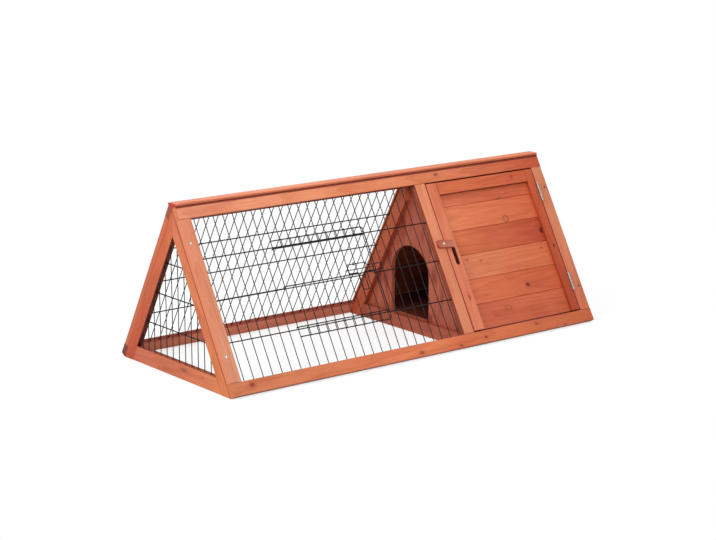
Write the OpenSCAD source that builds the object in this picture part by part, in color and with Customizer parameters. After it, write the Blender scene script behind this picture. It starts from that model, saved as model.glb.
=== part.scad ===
// Rabbit hutch with run: two sloping panels leaning on each other under a ridge cap.
// The left part is an open-bottomed wire run with a wire door, the right part a plank house.
// Origin: centre of the footprint on the ground. +X runs to the house end, -Y is the front.

/* [Overall] */
// Length from end to end
overall_len = 1180; // [1000:10:1500]
// Length of each slope panel from foot to ridge
slope_len = 484; // [440:2:560]
// Angle of the slope panels above the ground
slope_angle = 60.3; // [56:0.1:66]

/* [Frame timber] */
// Thickness of the frame battens
board_t = 16; // [14:0.5:20]
// Face width of rails and stiles
batten_w = 34; // [28:1:42]
// Rounding of the battens' arrises
ease = 1.5; // [0.8:0.1:3]
// Gap left in each fixed joint
seam = 0.3; // [0.2:0.05:0.6]
// Length of the stub tenons on the stiles
tenon_len = 10; // [6:1:16]
// Thickness of the stub tenons
tenon_t = 5; // [4:0.5:5.5]
// Depth of the groove that holds the mesh
groove_depth = 8; // [6:0.5:8]
// Height of the bottom rail in each end frame
end_rail_h = 40; // [34:1:55]
// Width of the ridge cap
cap_w = 32; // [28:1:44]
// Height of the ridge cap's upright edge
cap_edge = 5; // [4:0.5:12]

/* [House] */
// Distance from the left end to the middle stile
run_len = 731; // [600:1:800]
// Set-back of the partition behind the middle stile's edge
partition_inset = 11; // [6:0.5:16]
// Thickness of the partition
partition_t = 12; // [8:0.5:16]
// Width of the arched doorway
arch_w = 157; // [110:1:170]
// Height of the doorway's crown above the ground
arch_top = 229; // [180:1:240]
// Top of the house floor above the ground
floor_level = 36; // [28:1:50]
// Height of the doorway's sill above the floor
sill_rise = 1; // [0.5:0.5:8]
// Thickness of the tongued planks
plank_t = 7; // [6:0.5:9]
// Length of a plank's tongue
tongue_len = 3; // [2:0.5:4]
// Bevel along a plank's face edges
plank_bevel = 1.2; // [0.6:0.1:2]
// Number of planks in the back wall
back_planks = 6; // [4:1:7]
// Number of planks in the end wall
end_planks = 5; // [3:1:6]
// Number of planks in the floor
floor_planks = 4; // [3:1:5]

/* [House door] */
// Gap round the door
door_gap = 3; // [2:0.25:5]
// Width of the door stile at the turn button
lock_stile_w = 35; // [30:1:45]
// Width of the door stile at the hinges
hinge_stile_w = 26; // [22:1:40]
// Width of the door's top rail
door_rail_w = 34; // [28:1:45]
// Number of planks in the door
door_planks = 6; // [4:1:7]
// Length of the finger slot
slot_len = 50; // [40:1:70]
// Width of the finger slot
slot_w = 13; // [10:0.5:16]
// Distance of the finger slot's middle from the door's edge
slot_x = 20; // [17:0.5:24]
// Height of the finger slot's middle up the slope
slot_v = 243; // [200:1:280]
// Length of the hinge leaves
hinge_len = 52; // [40:1:70]
// Depth of the hinge leaves in the gap
leaf_depth = 12; // [8:0.5:14]
// Thickness of the hinge leaves
leaf_t = 0.9; // [0.7:0.05:1.1]
// Outer radius of the hinge knuckles
knuckle_r = 2.3; // [2.1:0.1:3]
// Radius of the hinge pins
pin_r = 1.2; // [1:0.05:1.4]
// Running clearance round a pin
pin_clear = 0.08; // [0.05:0.01:0.1]
// Distance of the lower hinge's middle from the door's lower end
hinge_low = 80; // [50:1:110]
// Distance of the upper hinge's middle from the door's upper end
hinge_high = 69; // [50:1:110]

/* [Turn button] */
// Length of the button
button_len = 50; // [44:1:60]
// Width of the button
button_w = 20; // [16:1:24]
// Thickness of the button
button_t = 8; // [6:0.5:10]
// Distance from the button's short end to its screw
button_tail = 17; // [12:1:20]
// Distance from the middle stile's left edge to the screw
button_x = 24; // [20:1:28]
// Height of the screw up the slope
button_v = 279; // [255:1:300]
// Length of the button's screw
button_screw_len = 20; // [18:1:22]
// Slant at which the button stands when it holds the door
button_slant = -6; // [-12:1:0]

/* [Screws] */
// Shank radius
screw_r = 1.9; // [1.5:0.1:2.2]
// Head radius
head_r = 3.6; // [3:0.1:4.2]
// Length of the frame screws
screw_len = 38; // [30:1:44]
// Clearance round a shank
screw_clear = 0.1; // [0.05:0.01:0.2]
// Distance of the frame screws from the ends of the hutch
screw_inset = 11; // [8:0.5:11.5]
// Height of the lower frame screws up the slope
screw_low_v = 100; // [70:1:140]
// Distance of the upper frame screws from the panels' top edges
screw_high = 95; // [70:1:140]

/* [Wire] */
// Spacing of the thin wires
wire_pitch = 28; // [22:1:34]
// Number of spaces between the thick wires of a slope panel
cross_spaces = 4; // [4:1:5]
// Drop of the thick wires below an even spacing
cross_drop = 2.4; // [0:0.2:5]
// Diameter of the thin wires
wire_d = 2.2; // [1.6:0.1:2.8]
// Diameter of the thick wires
cross_d = 3; // [2:0.1:3.6]
// Gap between two welded wire layers
weld_gap = 0.05; // [0.02:0.01:0.1]
// Distance from the left stile to the first thin wire
first_wire = 11; // [6:1:20]
// Length of the wire ends in the grooves
wire_hold = 6; // [4:0.5:6]
// Distance from the ridge line to the first thin wire behind it in the end mesh
end_wire_y = 19; // [0:1:27]
// Height of the lowest thick wire above the end frame's rail
end_cross_rise = 72; // [50:1:90]
// Spacing of the thick wires in the end frame
end_cross_pitch = 83; // [70:1:95]

/* [Wire door] */
// Number of cells from the first thin wire to the door's hinge wire
hinge_cell = 7; // [5:1:8]
// Number of cells across the door
door_cells = 10; // [7:1:12]
// Set-in of the door's hinge loops from the opening's edges
loop_inset = 4.5; // [4:0.5:12]
// Overlap of the door above the opening
lap_top = 16; // [10:1:24]
// Overlap of the door below the opening
lap_bottom = 20; // [10:1:24]
// Bend radius of the door's rim
rim_bend = 8; // [5:1:12]
// Clearance of the hinge loops round their wire
loop_clear = 0.15; // [0.1:0.05:0.3]
// Reach of the door's rim past the wire that it closes on
rim_reach = 3.5; // [3:0.5:6]
// Diameter of the latch wire
latch_d = 2.5; // [2:0.1:3]
// Bend radius of the latch wire
latch_bend = 4; // [3.5:0.1:4.4]
// Length of the latch's grip frame
grip_len = 60; // [56:1:64]
// Height of the latch's grip frame
grip_h = 24; // [24:1:30]
// Distance from the wire that the tongue holds to the grip frame
grip_gap = 17; // [16:1:20]
// Depth of the pull below the grip frame
pull_h = 46; // [36:1:60]
// Width of the pull
pull_w = 17; // [14:1:22]
// Distance from the grip frame's right side to the pull
pull_inset = 14; // [12:1:18]
// Height of the tongue
tongue_h = 16; // [12:1:16]
// Reach of the tongue past the wire that it holds
tongue_reach = 28; // [24:1:29]

/* [Hidden] */
$fn = 32;

// Timber positions, all measured along the hutch from its left end and up the slope from its foot
apex_gap = seam * 2;
half_top = board_t * sin(slope_angle) + apex_gap / 2;
foot_y = half_top + slope_len * cos(slope_angle);
foot_z = board_t * cos(slope_angle);
stile_low = batten_w;
stile_high = slope_len - batten_w;
house_x = run_len + batten_w;
house_end = overall_len - batten_w;
partition_x = run_len + partition_inset;
house_in = partition_x + partition_t + seam;
end_wall_x = overall_len - board_t - seam - plank_t;
house_out = end_wall_x - seam;
lap = batten_w / 2;
wall_n = -board_t - seam;
mid_n = -board_t / 2;
ridge_z = slope_len * sin(slope_angle);
sill_z = floor_level + sill_rise;
partition_leg_x = partition_x - seam - board_t;
overshoot = 1;

// Half the clear width between the panels at height z, and the same kept off by a distance
function half_w(z) = apex_gap / 2 + (ridge_z - z) / tan(slope_angle);
function inside(z, off) = half_w(z) - off / sin(slope_angle);
// Height at which a point y from the middle is a distance off the panel's inner face
function height_at(y, off) = ridge_z - (abs(y) + off / sin(slope_angle) - apex_gap / 2) * tan(slope_angle);

// Wire positions: the mesh lies in a groove in the middle of the battens' thickness
thin_n = mid_n + (weld_gap + cross_d) / 2;
cross_n = thin_n - wire_d / 2 - weld_gap - cross_d / 2;
groove_w = wire_d + weld_gap + cross_d + 2 * seam;
mesh_left = batten_w - wire_hold;
mesh_right = run_len + wire_hold;
mesh_low = stile_low - wire_hold;
mesh_high = stile_high + wire_hold;
wire_count = floor((run_len - batten_w - first_wire - wire_d) / wire_pitch) + 1;
cross_pitch = (mesh_high - mesh_low) / cross_spaces;
mid_cross = 2;
function wire_x(k) = batten_w + first_wire + k * wire_pitch;
function cross_v(k) = mesh_low + k * cross_pitch - cross_drop;

// The wire door: its hinge wire, the wire that it closes on, and its own wires
hinge_wire_x = wire_x(hinge_cell);
stop_wire_x = wire_x(hinge_cell + door_cells);
hole_low = cross_v(mid_cross - 1);
hole_high = cross_v(mid_cross + 1);
loop_r = wire_d / 2 + loop_clear + cross_d / 2;
rim_n = thin_n + loop_r;
leaf_n = rim_n + cross_d / 2 + weld_gap + wire_d / 2;
rim_low = hole_low - lap_bottom;
rim_high = hole_high + lap_top;
rim_x = stop_wire_x + rim_reach;
door_bars = [hole_low + loop_inset, cross_v(mid_cross) + cross_d + seam, hole_high - loop_inset];

// The latch wire lies behind the wire that it holds
latch_n = thin_n - wire_d / 2 - seam - latch_d / 2;
tongue_x = stop_wire_x + tongue_reach;
tongue_low = door_bars[1] + latch_bend;
tongue_high = tongue_low + tongue_h;
grip_right = stop_wire_x - grip_gap;
grip_x = grip_right - grip_len;
pull_right = grip_right - pull_inset;
keeper_v = tongue_low + tongue_h / 2;
keeper_n = leaf_n - wire_d - weld_gap;
guide_d = 2;
guide_gap = latch_d / 2 + seam + guide_d / 2;
curl = 250;

// The house door and its fittings
door_x0 = house_x + door_gap;
door_x1 = house_end - door_gap;
door_v0 = stile_low + door_gap;
door_v1 = stile_high - door_gap;
door_batten_t = board_t - plank_t;
hinge_x = (door_x1 + house_end) / 2;
hinge_n = knuckle_r + seam;
hinge_vs = [door_v0 + hinge_low, door_v1 - hinge_high];
cap_z = ridge_z - apex_gap / 2 / tan(slope_angle) + seam / sin(slope_angle);
back_off = plank_t + 3 * seam;
head_edge = 0.4;
head_h = 0.75 * head_r;
screw_point = 4;

wood = "#CF7650";
wood_dark = "#A9543C";
wood_red = "#BD5F44";
wire_black = "#26282A";
steel = "#B9BCC0";

// Places its children on the front slope: X along the hutch, Y up the slope, Z out of it
module front_slope() {
    translate([-overall_len / 2, -foot_y, foot_z]) rotate([slope_angle, 0, 0]) children();
}

module back_slope() {
    mirror([0, 1, 0]) front_slope() children();
}

// Places its children at the left end: X into the hutch, Y across it, Z up
module left_end() {
    translate([-overall_len / 2, 0, 0]) children();
}

module right_end() {
    mirror([1, 0, 0]) left_end() children();
}

// Extrudes an outline, drawn as width and depth, along X
module along_x(x0, x1) {
    translate([x0, 0, 0]) rotate([90, 0, 90]) linear_extrude(x1 - x0) children();
}

// Extrudes an outline, drawn as width and depth, along Y
module along_y(y0, y1) {
    translate([0, y1, 0]) rotate([90, 0, 0]) linear_extrude(y1 - y0) children();
}

// Cross-section of a batten: w wide, t deep below its face, all arrises eased
module batten_section(w, t) {
    translate([0, ease - t]) square([w, t - 2 * ease]);
    translate([ease, -t]) square([w - 2 * ease, t]);
    for (x = [ease, w - ease], y = [-ease, ease - t])
        translate([x, y]) circle(ease);
}

// Cross-section of a tongued and grooved plank: v0 to v1 across, its face at depth 0
module plank_section(v0, v1, tongue = true, groove = true) {
    cheek = plank_t / 3;
    slot = groove ? tongue_len + seam : 0;
    tip = tongue ? tongue_len : 0;
    fit = seam / 3;
    polygon([
        [v0 + plank_bevel, 0], [v1 - plank_bevel, 0], [v1, -plank_bevel], [v1, -cheek],
        [v1 + tip, -cheek - fit], [v1 + tip, -2 * cheek + fit], [v1, -2 * cheek], [v1, -plank_t],
        [v0, -plank_t], [v0, -2 * cheek - fit], [v0 + slot, -2 * cheek - fit],
        [v0 + slot, -cheek + fit], [v0, -cheek + fit], [v0, -plank_bevel]
    ]);
}

// Plank i of a run of planks that fills v0 to v1
module plank_in_run(i, count, v0, v1) {
    pitch = (v1 - v0) / count;
    plank_section(
        v0 + (i - 1) * pitch + (i > 1 ? seam : 0), v0 + i * pitch,
        tongue = i < count, groove = i > 1
    );
}

// Straight wires on a slope
module wire_along_x(v, n, x0, x1, d) {
    translate([x0, v, n]) rotate([0, 90, 0]) cylinder(h = x1 - x0, d = d);
}

module wire_along_v(x, n, v0, v1, d) {
    translate([x, v0, n]) rotate([-90, 0, 0]) cylinder(h = v1 - v0, d = d);
}

// Direction from one point of a path to the next, and the turn at a corner
function heading(a, b) = atan2(b[1] - a[1], b[0] - a[0]);
function turn(a, b, c) = ((heading(b, c) - heading(a, b) + 540) % 360) - 180;

// A wire bent in the XY plane: straight runs joined by round bends
module bent_wire(path, bend, d, closed = false) {
    n = len(path);
    function at(i) = path[(i + n) % n];
    function trim(i) = !closed && (i == 0 || i == n - 1)
        ? 0 : bend * tan(abs(turn(at(i - 1), at(i), at(i + 1))) / 2);
    for (i = [0 : closed ? n - 1 : n - 2]) {
        a = at(i);
        b = at(i + 1);
        run = norm(b - a) - trim(i) - trim((i + 1) % n);
        if (run > 0.01) translate(a) rotate([0, 0, heading(a, b)]) translate([trim(i), 0, 0])
            rotate([0, 90, 0]) cylinder(h = run, d = d);
    }
    for (i = [closed ? 0 : 1 : closed ? n - 1 : n - 2]) {
        bend_angle = turn(at(i - 1), at(i), at(i + 1));
        side = sign(bend_angle);
        translate(at(i)) rotate([0, 0, heading(at(i - 1), at(i))])
            translate([-trim(i), side * bend, 0]) rotate([0, 0, side > 0 ? -90 : 90 + bend_angle])
            rotate_extrude(angle = abs(bend_angle)) translate([bend, 0]) circle(d = d);
    }
}

// A countersunk screw pointing down from its head's face at Z = 0
module screw(length) {
    rotate_extrude() polygon([
        [0, 0], [head_r, 0], [head_r, -head_edge], [screw_r, -head_h],
        [screw_r, screw_point - length], [0, -length]
    ]);
}

// The hole that takes such a screw
module screw_hole(length) {
    head = head_r + screw_clear;
    shank = screw_r + screw_clear;
    low = -length - overshoot;
    rotate_extrude() polygon([
        [0, overshoot], [head, overshoot], [head, -head_edge - screw_clear],
        [shank, -head_h - screw_clear], [shank, low], [0, low]
    ]);
}

// Places of the screws that hold a slope panel to the end frames
module at_frame_screws() {
    for (x = [screw_inset, overall_len - screw_inset], v = [screw_low_v, slope_len - screw_high])
        translate([x, v, 0]) children();
}

// The groove round the run's opening that holds the mesh
module mesh_groove() {
    run_w = run_len - batten_w;
    run_h = stile_high - stile_low;
    translate([batten_w, stile_low, mid_n - groove_w / 2]) linear_extrude(groove_w) {
        translate([0, -groove_depth]) square([run_w, run_h + 2 * groove_depth]);
        translate([-groove_depth, 0]) square([run_w + 2 * groove_depth, run_h]);
    }
}

// Rails run the full length, with mortises for the stiles' tenons
module panel_rail(v0) {
    difference() {
        translate([0, v0, 0]) along_x(0, overall_len) batten_section(batten_w, board_t);
        for (x = [0, run_len, house_end])
            stile_tenons(x, screw_clear);
        mesh_groove();
    }
}

// The tenons of a stile, as one bar that runs through it from end to end
module stile_tenons(x, clear) {
    w = batten_w / 2;
    low = stile_low - tenon_len;
    high = stile_high + tenon_len;
    translate([x + w / 2 - clear, low - clear, mid_n - tenon_t / 2 - clear])
        cube([w + 2 * clear, high - low + 2 * clear, tenon_t + 2 * clear]);
}

// A stile between the rails, with a stub tenon at each end
module panel_stile(x) {
    difference() {
        union() {
            translate([x, 0, 0]) along_y(stile_low + seam, stile_high - seam)
                batten_section(batten_w, board_t);
            stile_tenons(x, 0);
        }
        at_frame_screws() screw_hole(screw_len);
        mesh_groove();
    }
}

// The section of a batten that lies on its side, with its face towards the end of the hutch
module leg_section(w) {
    rotate(90) batten_section(w, board_t);
}

// A leg lies along the inner face of a slope panel and stands on the ground
module leg(x) {
    intersection() {
        front_slope() translate([x, 0, wall_n - batten_w])
            along_y(-batten_w, slope_len + batten_w) leg_section(batten_w);
        translate([-overall_len, -2 * foot_y, 0])
            cube([2 * overall_len, 2 * foot_y - seam / 2, 2 * slope_len]);
    }
}

// The legs of the end frames are screwed to the slope panels
module end_leg() {
    difference() {
        leg(0);
        front_slope() at_frame_screws() screw_hole(screw_len);
    }
}

// A triangle between the slopes, from height z up, its sides kept off by a distance
module slope_triangle(z, off) {
    polygon([[-inside(z, off), z], [inside(z, off), z], [0, height_at(0, off)]]);
}

// The groove round the left end frame's opening that holds the mesh
module end_mesh_groove() {
    middle = board_t / 2;
    left_end() along_x(middle - groove_w / 2, middle + groove_w / 2)
        slope_triangle(end_rail_h - groove_depth, batten_w + seam - groove_depth);
}

module left_end_leg() {
    difference() {
        end_leg();
        end_mesh_groove();
    }
}

// The rail between the legs rests on the ground
module end_rail() {
    off = batten_w + 2 * seam;
    left_end() intersection() {
        along_y(-foot_y, foot_y) leg_section(end_rail_h);
        along_x(-overshoot, board_t + overshoot) polygon([
            [-inside(0, off), 0], [inside(0, off), 0],
            [inside(end_rail_h, off), end_rail_h], [-inside(end_rail_h, off), end_rail_h]
        ]);
    }
}

module left_end_rail() {
    difference() {
        end_rail();
        end_mesh_groove();
    }
}

// A wedge batten that lies in the groove between the two panels' top edges
module ridge_cap() {
    half = cap_w / 2;
    shoulder = cap_z + half / tan(slope_angle);
    top = shoulder + cap_edge;
    left_end() along_x(0, overall_len) polygon([
        [0, cap_z], [half, shoulder], [half, top - ease], [half - ease, top],
        [-half + ease, top], [-half, top - ease], [-half, shoulder]
    ]);
}

// Welded mesh in a slope panel's groove, with a gap where the wire door hangs
module slope_mesh(hole = false) {
    for (k = [0 : wire_count - 1])
        if (hole && k > hinge_cell && k < hinge_cell + door_cells) {
            wire_along_v(wire_x(k), thin_n, mesh_low, hole_low + cross_d, wire_d);
            wire_along_v(wire_x(k), thin_n, hole_high - cross_d, mesh_high, wire_d);
        } else
            wire_along_v(wire_x(k), thin_n, mesh_low, mesh_high, wire_d);
    for (k = [1 : cross_spaces - 1])
        if (hole && k == mid_cross) {
            wire_along_x(cross_v(k), cross_n, mesh_left, hinge_wire_x + wire_d, cross_d);
            wire_along_x(cross_v(k), cross_n, stop_wire_x - wire_d, mesh_right, cross_d);
        } else
            wire_along_x(cross_v(k), cross_n, mesh_left, mesh_right, cross_d);
}

// Welded mesh in the end frame's groove, cut to its triangle
module end_mesh() {
    off = batten_w + seam - wire_hold;
    low = end_rail_h - wire_hold;
    side = inside(end_rail_h, off);
    left_end() {
        for (k = [-floor((side + end_wire_y) / wire_pitch) : floor((side - end_wire_y) / wire_pitch)]) {
            y = end_wire_y + k * wire_pitch;
            translate([-thin_n, y, low]) cylinder(h = height_at(y, off) - low, d = wire_d);
        }
        for (z = [end_rail_h + end_cross_rise : end_cross_pitch : height_at(wire_pitch, off)])
            translate([-cross_n, -inside(z, off), z]) rotate([-90, 0, 0])
                cylinder(h = 2 * inside(z, off), d = cross_d);
    }
}

// The wall between run and house, cut to the slopes, with its arched doorway
module partition_panel() {
    r = arch_w / 2;
    left_end() along_x(partition_x, partition_x + partition_t) difference() {
        slope_triangle(0, seam);
        translate([0, arch_top - r]) circle(r);
        translate([-r, sill_z]) square([arch_w, arch_top - r - sill_z]);
    }
}

// A leg and a rail stiffen the partition's face in the run
module partition_back_leg() {
    mirror([0, 1, 0]) leg(partition_leg_x);
}

module partition_rail() {
    off = batten_w + 2 * seam;
    left_end() intersection() {
        translate([partition_leg_x, 0, 0]) along_y(-foot_y, foot_y) leg_section(sill_z);
        along_x(0, house_x) polygon([
            [-inside(0, seam), 0], [inside(0, off), 0],
            [inside(sill_z, off), sill_z], [-inside(sill_z, seam), sill_z]
        ]);
    }
}

// Planks of the back wall lie on the inside of the back panel
module back_plank(i) {
    back_slope() translate([0, 0, wall_n]) along_x(house_in, house_out)
        plank_in_run(i, back_planks, stile_low - lap, stile_high + lap - plank_t);
}

// Planks of the end wall lie on the inside of the right end frame, cut to the slopes
module right_end_plank(i) {
    right_end() intersection() {
        translate([board_t + seam, 0, 0]) along_y(-foot_y, foot_y) rotate(90)
            plank_in_run(i, end_planks, end_rail_h / 2, height_at(0, seam) - plank_t);
        along_x(0, 2 * board_t) slope_triangle(0, seam);
    }
}

module floor_plank(i) {
    left_end() translate([0, 0, floor_level]) along_x(house_in, house_out)
        plank_in_run(i, floor_planks, -inside(floor_level, seam), inside(floor_level, back_off));
}

// A bearer under the floor planks, its ends cut to the slopes
module floor_bearer(x) {
    top = floor_level - plank_t - seam;
    left_end() along_x(x, x + batten_w) polygon([
        [-inside(0, seam), 0], [inside(0, back_off), 0],
        [inside(top, back_off), top], [-inside(top, seam), top]
    ]);
}

// A stadium-shaped slot, its middle at the origin
module slot_section(length, width) {
    square([width, length - width], center = true);
    for (y = [-1, 1])
        translate([0, y * (length - width) / 2]) circle(d = width);
}

// The finger slot goes right through the door
module finger_slot() {
    translate([door_x0 + slot_x, slot_v, -2 * board_t]) linear_extrude(3 * board_t)
        slot_section(slot_len, slot_w);
}

// The door's battens stand in front of its planks
module door_lock_stile() {
    front_slope() difference() {
        translate([door_x0, 0, 0]) along_y(door_v0, door_v1) batten_section(lock_stile_w, door_batten_t);
        finger_slot();
    }
}

module door_hinge_stile() {
    front_slope() translate([door_x1 - hinge_stile_w, 0, 0])
        along_y(door_v0, door_v1) batten_section(hinge_stile_w, door_batten_t);
}

module door_top_rail() {
    front_slope() translate([0, door_v1 - door_rail_w, 0])
        along_x(door_x0 + lock_stile_w + seam, door_x1 - hinge_stile_w - seam)
        batten_section(door_rail_w, door_batten_t);
}

module door_plank(i) {
    front_slope() difference() {
        translate([0, 0, -door_batten_t - seam / 2]) along_x(door_x0, door_x1)
            plank_in_run(i, door_planks, door_v0, door_v1);
        finger_slot();
    }
}

// A butt hinge's leaf: a plate in the door's gap that carries every other knuckle
module hinge_leaf(v, knuckles, plate_x) {
    pitch = hinge_len / 5;
    translate([0, v - hinge_len / 2, 0]) difference() {
        union() {
            translate([plate_x, 0, -leaf_depth]) cube([leaf_t, hinge_len, leaf_depth]);
            for (k = knuckles) translate([0, k * pitch + seam / 2, 0]) {
                translate([hinge_x, 0, hinge_n]) rotate([-90, 0, 0])
                    cylinder(h = pitch - seam, r = knuckle_r);
                translate([plate_x, 0, -leaf_depth]) cube([leaf_t, pitch - seam, leaf_depth + hinge_n]);
            }
        }
        translate([hinge_x, -overshoot, hinge_n]) rotate([-90, 0, 0])
            cylinder(h = hinge_len + 2 * overshoot, r = pin_r + pin_clear);
    }
}

module hinge_frame_leaves() {
    front_slope() for (v = hinge_vs)
        hinge_leaf(v, [0, 2, 4], house_end - screw_clear - leaf_t);
}

module hinge_door_leaves() {
    front_slope() for (v = hinge_vs)
        hinge_leaf(v, [1, 3], door_x1 + screw_clear);
}

module hinge_pins() {
    front_slope() for (v = hinge_vs)
        translate([hinge_x, v - hinge_len / 2, hinge_n]) rotate([-90, 0, 0])
            cylinder(h = hinge_len, r = pin_r);
}

// The wooden turn button pivots on a screw in the middle stile and laps over the door
module turn_button() {
    r = 2 * ease;
    front_slope() translate([run_len + button_x, button_v, seam]) rotate([0, 0, button_slant]) difference() {
        translate([-button_tail, -button_w / 2, 0]) linear_extrude(button_t) {
            translate([r, 0]) square([button_len - 2 * r, button_w]);
            translate([0, r]) square([button_len, button_w - 2 * r]);
            for (x = [r, button_len - r], y = [r, button_w - r])
                translate([x, y]) circle(r);
        }
        translate([0, 0, button_t]) screw_hole(button_t);
    }
}

module at_button_screw() {
    translate([run_len + button_x, button_v, seam + button_t]) children();
}

module front_mid_stile() {
    difference() {
        panel_stile(run_len);
        at_button_screw() screw_hole(button_screw_len);
    }
}

// The wire door's rim: one wire bent round the top, the free edge and the bottom
module mesh_door_rim() {
    start = hinge_wire_x - cross_d;
    path = [[start, rim_high], [rim_x, rim_high], [rim_x, rim_low], [start, rim_low]];
    translate([0, 0, rim_n]) bent_wire(path, rim_bend, cross_d);
}

// A thick wire of the door, its end curled round the hinge wire
module mesh_door_bar(v) {
    translate([hinge_wire_x, v, thin_n]) rotate([90, 0, 0]) {
        translate([0, loop_r, 0]) rotate([0, 90, 0])
            cylinder(h = rim_x - hinge_wire_x - cross_d / 2 - weld_gap, d = cross_d);
        rotate([0, 0, 90]) rotate_extrude(angle = curl) translate([loop_r, 0]) circle(d = cross_d);
    }
}

module mesh_door() {
    front_slope() {
        mesh_door_rim();
        for (v = door_bars)
            mesh_door_bar(v);
        for (k = [1 : door_cells - 1])
            wire_along_v(wire_x(hinge_cell + k), leaf_n, rim_low - wire_d, rim_high + wire_d, wire_d);
        wire_along_x(keeper_v, keeper_n, grip_x - wire_pitch / 2, rim_x - cross_d / 2 - weld_gap, wire_d);
    }
}

// A staple welded to two places on the back of the door, in which the latch wire slides
module latch_guide(x, v0, n0, v1, n1) {
    base = latch_n - guide_gap;
    translate([x, 0, 0]) rotate([90, 0, 90])
        bent_wire([[v0, n0], [v0, base], [v1, base], [v1, n1]], guide_d, guide_d);
}

module latch_guides() {
    grip_high = tongue_low + grip_h;
    back_of_leaf = leaf_n - wire_d / 2 - weld_gap;
    front_slope() {
        latch_guide(
            stop_wire_x - grip_gap + 2 * latch_bend, door_bars[1], rim_n - cross_d / 2 - weld_gap,
            keeper_v, keeper_n - wire_d / 2 - weld_gap
        );
        latch_guide(
            wire_x(hinge_cell + door_cells - 2), grip_high - guide_gap, back_of_leaf,
            grip_high + guide_gap, back_of_leaf
        );
    }
}

// The latch: one wire bent to a tongue, a grip frame and a pull
module latch_bolt() {
    grip_high = tongue_low + grip_h;
    pull_low = tongue_low - pull_h;
    front_slope() translate([0, 0, latch_n]) bent_wire([
        [grip_x, grip_high], [grip_right, grip_high], [grip_right, tongue_high], [tongue_x, tongue_high],
        [tongue_x, tongue_low], [pull_right, tongue_low], [pull_right, pull_low],
        [pull_right - pull_w, pull_low], [pull_right - pull_w, tongue_low], [grip_x, tongue_low]
    ], latch_bend, latch_d, closed = true);
}

module frame_screws() {
    front_slope() at_frame_screws() screw(screw_len);
    back_slope() at_frame_screws() screw(screw_len);
}

module turn_button_screw() {
    front_slope() at_button_screw() screw(button_screw_len);
}

color(wood) front_slope() panel_rail(stile_high);  // front_top_rail
color(wood) front_slope() panel_rail(0);  // front_bottom_rail
color(wood) front_slope() panel_stile(0);  // front_left_stile
color(wood) front_slope() front_mid_stile();
color(wood) front_slope() panel_stile(house_end);  // front_right_stile
color(wood) back_slope() panel_rail(stile_high);  // back_top_rail
color(wood) back_slope() panel_rail(0);  // back_bottom_rail
color(wood) back_slope() panel_stile(0);  // back_left_stile
color(wood) back_slope() panel_stile(run_len);  // back_mid_stile
color(wood) back_slope() panel_stile(house_end);  // back_right_stile
color(wood) ridge_cap();
color(wood) left_end_leg();  // left_end_front_leg
color(wood) mirror([0, 1, 0]) left_end_leg();  // left_end_back_leg
color(wood) left_end_rail();
color(wood) mirror([1, 0, 0]) end_leg();  // right_end_front_leg
color(wood) mirror([1, 0, 0]) mirror([0, 1, 0]) end_leg();  // right_end_back_leg
color(wood) mirror([1, 0, 0]) end_rail();  // right_end_rail
color(wire_black) front_slope() slope_mesh(hole = true);  // front_mesh
color(wire_black) back_slope() slope_mesh();  // back_mesh
color(wire_black) end_mesh();  // left_end_mesh
color(wood_dark) partition_panel();
color(wood) partition_back_leg();
color(wood) partition_rail();
for (i = [1 : back_planks])
    color(wood_red) back_plank(i);
for (i = [1 : end_planks])
    color(wood_red) right_end_plank(i);
for (i = [1 : floor_planks])
    color(wood_dark) floor_plank(i);
color(wood_dark) floor_bearer(house_in + lap);  // floor_bearer_left
color(wood_dark) floor_bearer(house_out - lap - batten_w);  // floor_bearer_right
color(wood) door_lock_stile();
color(wood) door_hinge_stile();
color(wood) door_top_rail();
for (i = [1 : door_planks])
    color(wood_red) door_plank(i);
color(steel) hinge_frame_leaves();
color(steel) hinge_door_leaves();
color(steel) hinge_pins();
color(wood_red) turn_button();
color(steel) turn_button_screw();
color(steel) frame_screws();
color(wire_black) mesh_door();
color(wire_black) latch_guides();
color(wire_black) latch_bolt();
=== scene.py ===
# Rabbit hutch with run: stained fir boards, black coated wire and small zinc fittings
import math
import random
import bpy
from mathutils import Euler, Matrix, Vector


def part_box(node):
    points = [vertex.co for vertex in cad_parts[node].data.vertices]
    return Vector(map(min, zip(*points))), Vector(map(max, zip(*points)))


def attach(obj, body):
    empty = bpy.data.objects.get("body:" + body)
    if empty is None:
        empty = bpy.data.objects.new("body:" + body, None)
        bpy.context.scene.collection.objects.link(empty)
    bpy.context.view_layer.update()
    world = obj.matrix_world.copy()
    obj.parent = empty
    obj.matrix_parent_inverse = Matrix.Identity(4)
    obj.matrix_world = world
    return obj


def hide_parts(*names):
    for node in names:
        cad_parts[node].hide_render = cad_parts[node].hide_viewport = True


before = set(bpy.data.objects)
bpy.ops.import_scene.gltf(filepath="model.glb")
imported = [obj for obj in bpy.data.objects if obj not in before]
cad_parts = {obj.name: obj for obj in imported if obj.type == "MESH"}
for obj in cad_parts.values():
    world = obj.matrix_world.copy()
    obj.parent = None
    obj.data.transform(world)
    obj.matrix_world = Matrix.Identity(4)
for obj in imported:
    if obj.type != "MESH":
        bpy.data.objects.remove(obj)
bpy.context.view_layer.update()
scene = bpy.context.scene
print("frame loaded:", len(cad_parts), "nodes")


def toLinear(hexColour):  # sRGB hex to the linear colour that sockets take
    parts = [int(hexColour[i:i + 2], 16) / 255 for i in (1, 3, 5)]
    return [c / 12.92 if c <= 0.04045 else ((c + 0.055) / 1.055) ** 2.4 for c in parts] + [1.0]


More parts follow.
